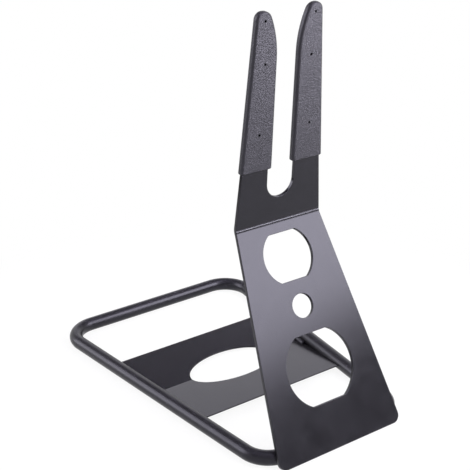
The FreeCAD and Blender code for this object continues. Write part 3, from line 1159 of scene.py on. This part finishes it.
@dataclass
class Weld:
    """One straight bead laid in overlapping pools."""

    name: str
    start: Vector
    end: Vector
    radius: float
    pool: float = 1.7           # spacing of the ripples
    dip: float = 0.07           # how far each valley sinks, as a share of the radius
    swell: tuple[float, float] = (0.97, 1.03)   # least and most of each pool's radius
    steps: int = 4
    facets: int = 28

    def radii(self, draw: random.Random) -> list[tuple[float, float]]:
        """Rings along the bead.

        Args:
            draw: The seeded source of the bead's unevenness.

        Returns:
            Each ring's distance from the bead's start and its radius, in millimetres.
        """
        length = (self.end - self.start).length
        pools = max(round(length / self.pool), 2)
        domes = [(cos(radians(a)), sin(radians(a))) for a in (12, 30, 50, 70, 90)]
        rings = [(-self.radius * ahead, self.radius * across) for ahead, across in domes[:-1]]
        for pool in range(pools):
            swell = self.radius * draw.uniform(*self.swell)
            for step in range(self.steps):
                share = step / self.steps
                rings.append(((pool + share) * length / pools, swell * (1 - self.dip * (2 * share - 1) ** 2)))
        return rings + [(length + self.radius * ahead, self.radius * across) for ahead, across in domes[::-1]]

    def build(self) -> Piece:
        """Sweep a ring along the bead, growing and shrinking it, and close its ends."""
        rings = self.radii(random.Random(self.name))
        run = (self.end - self.start).normalized()
        turn = Vector((0, 0, 1)).rotation_difference(run).to_euler()
        at, radius = rings[0]
        piece = add_ring(self.name, self.facets, radius, (self.start + run * at) * MM, turn, "NGON")
        with editing(piece):
            select_everything()
            for distance, wanted in rings[1:]:
                pull(run * (distance - at) * MM)
                grow = wanted / radius
                centre = (self.start + run * distance) * MM
                bpy.ops.transform.resize(value=(grow, grow, grow), center_override=centre)
                at, radius = distance, wanted
        close_up(piece)
        return piece


@dataclass
class WeldBeads:
    """The five pairs of beads that hold the tray and the plate to the tube."""

    finishes: FinishRoom
    base: BaseLoop
    plate: UprightPlate
    tray: WheelTray
    inset: float = 0.35
    fold_radius: float = 3.2
    fold_length: float = 18.0
    fold_height: float = 0.6
    leaf_radius: float = 2.4
    leaf_length: float = 20.0
    leaf_drop: float = 0.8
    front_distance: float = 60.0
    rear_distance: float = 52.0
    plate_radius: float = 2.6
    plate_start: float = 14.0
    plate_length: float = 40.0
    plate_rise: float = 5.4
    plate_standoff: float = 1.2

    def beside_run(self, behind_fold: float, lift: float, length: float) -> tuple[Vector, Vector]:
        """A bead's two ends beside the right side run.

        Args:
            behind_fold: Its middle's distance behind the tray's fold.
            lift: Its centre's height over the tray's top face.
            length: Its length between the centres of its round ends.

        Returns:
            The ends, in millimetres.
        """
        outward, rearward = self.base.run_directions(Side.RIGHT)
        distance = self.tray.fold_distance + behind_fold
        middle = Vector((self.base.side_run_x(distance), self.base.front_run_y + distance, 0))
        middle -= outward * (self.base.tube_radius + self.tray.end_gap + self.inset)
        ends = [middle - rearward * (length / 2), middle + rearward * (length / 2)]
        for end in ends:
            end.z = self.tray.top_at(end.y - self.tray.fold_y) + lift
        return ends[0], ends[1]

    def fold_bead(self) -> Piece:
        """Right-hand bead on the tray's fold, cut level with its underside."""
        start, end = self.beside_run(0, 0, self.fold_length)
        start.z = end.z = self.tray.fold_height + self.fold_height
        piece = Weld("tray_fold_weld_right_bead", start, end, self.fold_radius).build()
        underside = self.tray.fold_height - self.tray.thickness
        with editing(piece):
            slice_at(Vector((0, 0, underside * MM)), Vector((0, 0, 1)), above=True)
        close_up(piece, TRIMMED_CREASE)
        return piece

    def leaf_bead(self, name: str, behind_fold: float) -> Piece:
        """Bead under one leaf.

        Args:
            name: The piece's name.
            behind_fold: Its middle's distance behind the fold.

        Returns:
            The right-hand bead.
        """
        start, end = self.beside_run(behind_fold, -self.tray.thickness - self.leaf_drop, self.leaf_length)
        piece = Weld(name, start, end, self.leaf_radius).build()
        half_sheet = Vector((0, 0, self.tray.thickness / 2 + self.leaf_drop))
        along = (end - start).normalized()
        with editing(piece):
            slice_at((start + half_sheet) * MM, along.cross(Vector((0, 0, 1))).cross(along), above=False)
        close_up(piece, TRIMMED_CREASE)
        return piece

    def plate_bead(self, name: str, rise: float) -> Piece:
        """Bead behind the plate, above or below where it touches the front run.

        Args:
            name: The piece's name.
            rise: Its distance up the plate from that line.

        Returns:
            The right-hand bead.
        """
        axes = self.plate.lower_axes()
        touch = (axes.inverted() @ (self.base.front_middle(self.base.tube_radius) * MM)).y / MM
        depth = -self.plate.thickness - self.plate_standoff
        start, end = (axes @ (Vector((x, touch + rise, depth)) * MM) / MM
                      for x in (self.plate_start, self.plate_start + self.plate_length))
        return Weld(name, start, end, self.plate_radius).build()

    def build(self) -> list[Piece]:
        """Model the right-hand beads, copy each to the left, and dress them all."""
        rights = {
            "tray_fold_weld": self.fold_bead(),
            "tray_front_weld": self.leaf_bead("tray_front_weld_right_bead", -self.front_distance),
            "tray_rear_weld": self.leaf_bead("tray_rear_weld_right_bead", self.rear_distance),
            "upright_upper_weld": self.plate_bead("upright_upper_weld_right_bead", self.plate_rise),
            "upright_lower_weld": self.plate_bead("upright_lower_weld_right_bead", -self.plate_rise),
        }
        pieces = []
        for node, right in rights.items():
            left = mirrored_copy(right, f"{node}_left_bead")
            pieces.append(self.finishes.dress(right, Slot.WELD, f"{node}_right"))
            pieces.append(self.finishes.dress(left, Slot.WELD, f"{node}_left"))
        return pieces


# --- studio ---
@dataclass(frozen=True)
class Softbox:
    """One rectangular studio lamp that faces a point on the stand."""

    name: str
    place: tuple[float, float, float]
    aim: tuple[float, float, float]
    width: float
    height: float
    radiance: float             # of its face, where 1 is white
    cast: tuple[float, float, float] = (0.97, 0.96, 1.0)

    def hang(self) -> Piece:
        """Make the lamp."""
        light = bpy.data.lights.new(self.name, "AREA")
        light.shape = "RECTANGLE"
        light.size, light.size_y = self.width, self.height
        light.energy = self.radiance * pi * self.width * self.height
        light.color = self.cast
        lamp = bpy.data.objects.new(self.name, light)
        bpy.context.scene.collection.objects.link(lamp)
        lamp.location = self.place
        lamp.rotation_euler = (Vector(self.aim) - Vector(self.place)).to_track_quat("-Z", "Y").to_euler()
        lamp.visible_camera = False
        return lamp


@dataclass
class Studio:
    """White sweep, soft lamps and the camera at the photograph's place."""

    camera_place: tuple[float, float, float] = (-0.62464, -0.89251, 0.65046)
    yaw: float = 35.04
    pitch: float = -23.72
    roll: float = -0.51
    focal_px: float = 1075.78
    clip: tuple[float, float] = (0.05, 50.0)
    wall_light: float = 0.45    # of the white walls on the stand, beside the 1 that they look
    near_white: float = 0.9     # least share of plain white in the floor, where it takes the shadow
    shadow_reach: tuple[float, float] = (0.2, 0.45)     # from the middle, where that share grows to all
    softboxes: tuple[Softbox, ...] = (
        Softbox("key_softbox", (0.80, -1.11, 1.08), (-0.03, -0.05, 0.13), 1.2, 1.19, 8.4),
        Softbox("floor_softbox", (0.925, -1.27, 0.02), (0.825, -1.13, 1.0), 1.6, 0.8, 23.0),
        Softbox("back_softbox", (-1.27, 0.99, 0.80), (-0.1, 0.05, 0.02), 1.2, 1.3, 4.2),
        Softbox("rear_softbox", (0.77, 1.32, 0.66), (0.0, 0.03, 0.02), 1.6, 0.55, 0.7, (0.9, 0.88, 1.0)),
    )

    def camera(self) -> None:
        """Set up the camera from the photograph's perspective."""
        yaw, pitch, roll = (radians(a) for a in (self.yaw, self.pitch, self.roll))
        forward = Vector((sin(yaw) * cos(pitch), cos(yaw) * cos(pitch), sin(pitch)))
        right = Vector((cos(yaw), -sin(yaw), 0))
        up = right.cross(forward)
        right, up = (right * cos(roll) + up * sin(roll),
                     up * cos(roll) - right * sin(roll))
        data = bpy.data.cameras.new("photo_camera")
        data.lens = self.focal_px / PHOTO_SIDE_PX * data.sensor_width
        data.clip_start, data.clip_end = self.clip
        camera = bpy.data.objects.new("photo_camera", data)
        bpy.context.scene.collection.objects.link(camera)
        axes = Matrix((right, up, -forward)).transposed().to_4x4()
        camera.matrix_world = Matrix.Translation(self.camera_place) @ axes
        bpy.context.scene.camera = camera

    @staticmethod
    def seen_ray(tree: NodeTree) -> NodeSocket:
        """Add nodes that give 1 to a ray from the camera, or one by way of a gloss or a clear body.

        Args:
            tree: The node tree of the floor or of the world.

        Returns:
            The socket with that 1 or 0.
        """
        ray = add_node(tree, "LightPath")
        seen = add_node(tree, "Math", {"operation": "MAXIMUM"}, i0=ray.outputs["Is Camera Ray"],
                        i1=ray.outputs["Is Transmission Ray"])
        return add_node(tree, "Math", {"operation": "MAXIMUM"}, i0=seen.outputs[0],
                        i1=ray.outputs["Is Glossy Ray"]).outputs[0]

    def world(self) -> None:
        """White walls all round."""
        world = bpy.data.worlds.new("studio_walls")
        bpy.context.scene.world = world
        world.use_nodes = True
        tree = world.node_tree
        tree.nodes.clear()
        seen = self.seen_ray(tree)
        strength = add_node(tree, "MapRange", Value=seen, To_Min=self.wall_light, To_Max=1.0)
        light = add_node(tree, "Background", Color=WHITE, Strength=strength.outputs["Result"])
        add_node(tree, "OutputWorld", Surface=light.outputs["Background"])

    def card(self, name: str, size: tuple[float, float], placement: Matrix, colour: str) -> None:
        """Hang one matte studio card that the camera doesn't see.

        Args:
            name: The card's name.
            size: Its width and height in metres.
            placement: Where it hangs; its local Z is its normal.
            colour: Its sRGB colour.
        """
        deselect_all()
        bpy.ops.mesh.primitive_plane_add(size=1, location=(0, 0, 0))
        card = bpy.context.object
        card.name = name
        card.scale = (*size, 1)
        settle(card, placement)
        card.visible_camera = False
        material, tree = blank_material(f"{name}_cloth")
        cloth = add_node(tree, "BsdfDiffuse", Color=linear(colour))
        add_node(tree, "OutputMaterial", Surface=cloth.outputs[0])
        card.data.materials.append(material)

    def cards(self) -> None:
        """Hang the grey ceiling cloth and the dark flag below the key lamp, and lay the dark side cloth."""
        self.card("ceiling_cloth", (7.0, 7.0), Matrix.Translation((0, 0, 2.15)), "#dad7df")
        turn = Matrix.Rotation(radians(38), 4, "Z")
        standing = turn @ Matrix.Rotation(radians(90), 4, "X")
        self.card("key_flag", (2.4, 0.60), Matrix.Translation((1.22, -1.65, 0.30)) @ standing, "#161616")
        self.card("side_cloth", (1.3, 1.5), Matrix.Translation((-1.05, 1.25, 0.004)) @ turn, "#1c1c1c")

    def floor(self) -> None:
        """Lay a white sweep whose lit parts photograph as plain white and keep the shadow."""
        deselect_all()
        bpy.ops.mesh.primitive_plane_add(size=12, location=(0, 0, 0))
        floor = bpy.context.object
        floor.name = "studio_floor"
        material, tree = blank_material("white_paper_sweep")
        place = add_node(tree, "TexCoord").outputs["Object"]
        out = add_node(tree, "VectorMath", {"operation": "LENGTH"}, i0=place)
        white = add_node(tree, "MapRange", {"interpolation_type": "SMOOTHSTEP"},
                         Value=out.outputs["Value"], From_Min=self.shadow_reach[0],
                         From_Max=self.shadow_reach[1], To_Min=self.near_white, To_Max=1.0)
        share = add_node(tree, "Math", {"operation": "MULTIPLY"}, i0=self.seen_ray(tree),
                         i1=white.outputs["Result"])
        paper = add_node(tree, "BsdfDiffuse", Color=linear("#f6f6f6"))
        glow = add_node(tree, "Emission", Color=WHITE, Strength=1.0)
        mixed = add_node(tree, "MixShader", i0=share.outputs[0], i1=paper.outputs[0],
                         i2=glow.outputs[0])
        add_node(tree, "OutputMaterial", Surface=mixed.outputs[0])
        floor.data.materials.append(material)

    def build(self) -> None:
        """Set up the whole studio."""
        self.floor()
        self.cards()
        self.world()
        self.camera()
        for softbox in self.softboxes:
            softbox.hang()
        bpy.context.scene.view_settings.view_transform = "Standard"


def main() -> None:
    """Build the stand's sub-assemblies in order, then the studio."""
    logging.basicConfig(level=logging.INFO, format="%(name)s: %(message)s")
    finishes = FinishRoom()
    base = BaseLoop(finishes)
    plate = UprightPlate(finishes, base)
    tray = WheelTray(finishes, base)
    for assembly in (base, ButtWeld(finishes, base, plate), plate, GripSleeves(finishes, plate), tray,
                     WeldBeads(finishes, base, plate, tray)):
        for piece in assembly.build():
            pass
    Studio().build()


if __name__ == "__main__":
    main()
